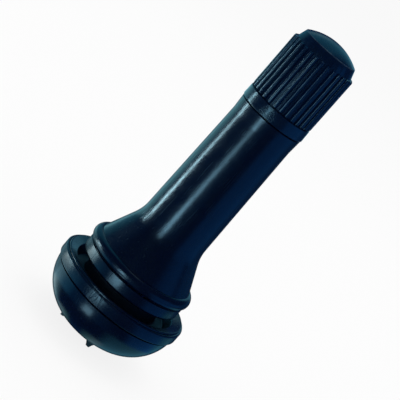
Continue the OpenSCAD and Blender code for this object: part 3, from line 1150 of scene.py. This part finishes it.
def make_room():
    """Dark and pale cards all round, which the black skins show in place of the white room."""
    level = FLOOR_Z + 0.1
    dark = (0.01, 0.035, 0.11)
    deep = (0.015, 0.08, 0.22)
    shade = (0.015, 0.125, 0.31)
    blue = (0.02, 0.125, 0.4)
    navy = (0.03, 0.2, 0.58)
    sea = (0.1, 0.34, 0.47)
    teal = (0.06, 0.3, 0.45)
    glint = (0.14, 0.42, 0.58)
    grey = (0.22, 0.45, 0.55)
    haze = (0.1, 0.25, 0.28)
    mist = (0.25, 0.43, 0.5)
    fall = (0.1, 0.5, 0.85)
    fog = (0.16, 0.55, 0.85)
    pale = (0.38, 0.92, 1.08)
    frost = (0.58, 1.08, 1.3)
    rim = (0.8, 1.15, 1.25)
    ring_card("foot_card", [(0.5, level), (7.4, level)], (
        (-90, rim), (-74, grey), (-62, mist), (-50, mist), (-40, haze), (-28, dark), (-8, dark),
        (6, haze), (18, mist), (26, mist), (36, sea), (100, sea), (118, grey),
        (242, rim), (270, rim),
    ))
    ring_card("dome_card", [(7.4, level), (12.5, level)], (
        (-90, rim), (-74, grey), (-60, dark), (16, dark), (32, sea),
        (100, sea), (118, grey), (242, rim), (270, rim),
    ))
    ring_card("edge_card", [(12.5, level), (36, level)], (
        (-90, frost), (-80, frost), (-68, fog), (-56, fall), (-44, shade), (-20, shade),
        (12, deep), (24, dark), (44, dark), (54, navy), (92, navy), (106, teal), (118, sea),
        (132, dark), (156, dark), (170, grey), (257, grey), (264, frost), (270, frost),
    ))
    ring_card("near_card", [(36, level), (58, level)], (
        (-90, shade), (-20, shade), (12, deep), (24, dark), (44, dark), (54, blue), (90, blue),
        (102, dark), (156, dark), (170, grey), (257, grey), (267, shade), (270, shade),
    ))
    ring_card("far_card", [(58, level), (440, level)], (
        (-90, deep), (12, deep), (24, dark), (44, dark), (54, navy), (108, navy),
        (124, deep), (140, dark), (156, dark), (172, pale), (242, pale), (254, deep), (270, deep),
    ))
    ring_card("low_wall", [(440, level), (445, 80)], (
        (-90, deep), (-72, deep), (-60, dark), (44, dark), (54, navy), (108, navy),
        (124, deep), (156, deep), (166, glint), (176, glint), (182, dark), (193, dark),
        (203, teal), (242, teal), (254, deep), (270, deep),
    ))
    ring_card("high_wall", [(445, 80), (460, 220)], (
        (-90, deep), (-72, deep), (-60, dark), (44, dark), (54, navy), (90, navy),
        (102, dark), (157, dark), (166, glint), (173, glint), (179, dark), (193, dark),
        (203, teal), (242, teal), (254, deep), (270, deep),
    ))
    ring_card("eaves", [(460, 220), (400, 295)], (
        (-90, dark), (150, dark), (170, teal), (180, glint), (187, grey), (197, grey), (210, teal),
        (242, teal), (254, dark), (270, dark),
    ))
    ring_card("roof", [(400, 295), (300, 420), (60, 500)], (
        (-90, dark), (150, dark), (170, teal), (242, teal), (254, dark), (270, dark),
    ))


def make_streaks():
    """Narrow bright cards: two long ones for the stem, and short ones for bands and dome."""
    cool = (0.9, 1.08, 1.1)
    cold = (0.75, 0.9, 1)
    streak_card("left_streak", (-91.8, 3.3, 72), (-94.5, 2.6, 430), 30, cool, (
        (72, 25), (95, 33), (150, 22), (220, 13), (330, 8), (400, 23), (430, 28),
    ))
    streak_card("front_streak", (-18.6, 5.6, 62), (-19.5, 5, 430), 90, cold, (
        (62, 10), (95, 14), (150, 6.5), (195, 2.4), (330, 1.7), (400, 6), (430, 7),
    ))
    streak_card("left_band_light", (-92, 16, 26), (-90, 14, 47), 0, cool, (
        (26, 0.7), (34, 3.2), (40, 6.5), (47, 4),
    ))
    streak_card("front_band_light", (-17.5, 11, 33), (-18, 11, 47), 0, cold, (
        (33, 6), (40, 10), (47, 6),
    ))
    streak_card("edge_light", (-17, 6, 26), (-19, 6, 32), 0, cold, ((26, 1.4), (32, 1.4)))
    streak_card("dome_light", (-15, 7, 13), (-15, 7, 18), 0, cold, ((13, 4), (18, 4)))


def make_lamps():
    """A wide lamp overhead, and a pale tent of soft lamps that only the bare metal shows."""
    level_up = (0, 1, 0)
    overhead = lamp(
        "overhead", width=300, height=300, place=(0, 60, 420), facing=(0, -0.1, -1),
        up=level_up, brightness=1.7)
    overhead.visible_glossy = False
    bare_metal = bpy.data.collections.new("bare_metal")
    for shape in list(bpy.context.scene.objects):
        if shape.type == "MESH" and any(
                used in (BRASS, STEEL) for used in shape.data.materials):
            bare_metal.objects.link(shape)
    reach = 150
    height = 260
    spread = 2.3 * reach
    middle = Vector((0, 0, height / 2))
    brightness = {-150: 0.9, -90: 1.5, -30: 0.45, 30: 0.8, 90: 1.1, 150: 0.5}
    width = 2 * reach * math.tan(math.pi / len(brightness))
    tent = [
        lamp(f"tent_{azimuth}", width, height, towards(azimuth, reach) + middle,
             -towards(azimuth, 1), (0, 0, 1), share)
        for azimuth, share in brightness.items()
    ]
    tent.append(lamp(
        "tent_roof", spread, spread, (0, 0, height), (0, 0, -1), level_up, 1))
    tent.append(lamp(
        "tent_floor", spread, spread, (0, 0, FLOOR_Z + 0.5), (0, 0, 1), level_up, 0.6))
    for side in tent:
        side.light_linking.receiver_collection = bare_metal


make_camera()
make_rubber_body()
make_stem()
make_plug()
make_pin()
make_spring()
dress_hidden_core()
make_cap()
make_cap_seal()
make_floor()
make_world()
make_room()
make_streaks()
make_lamps()

bpy.context.scene.view_settings.view_transform = "Standard"
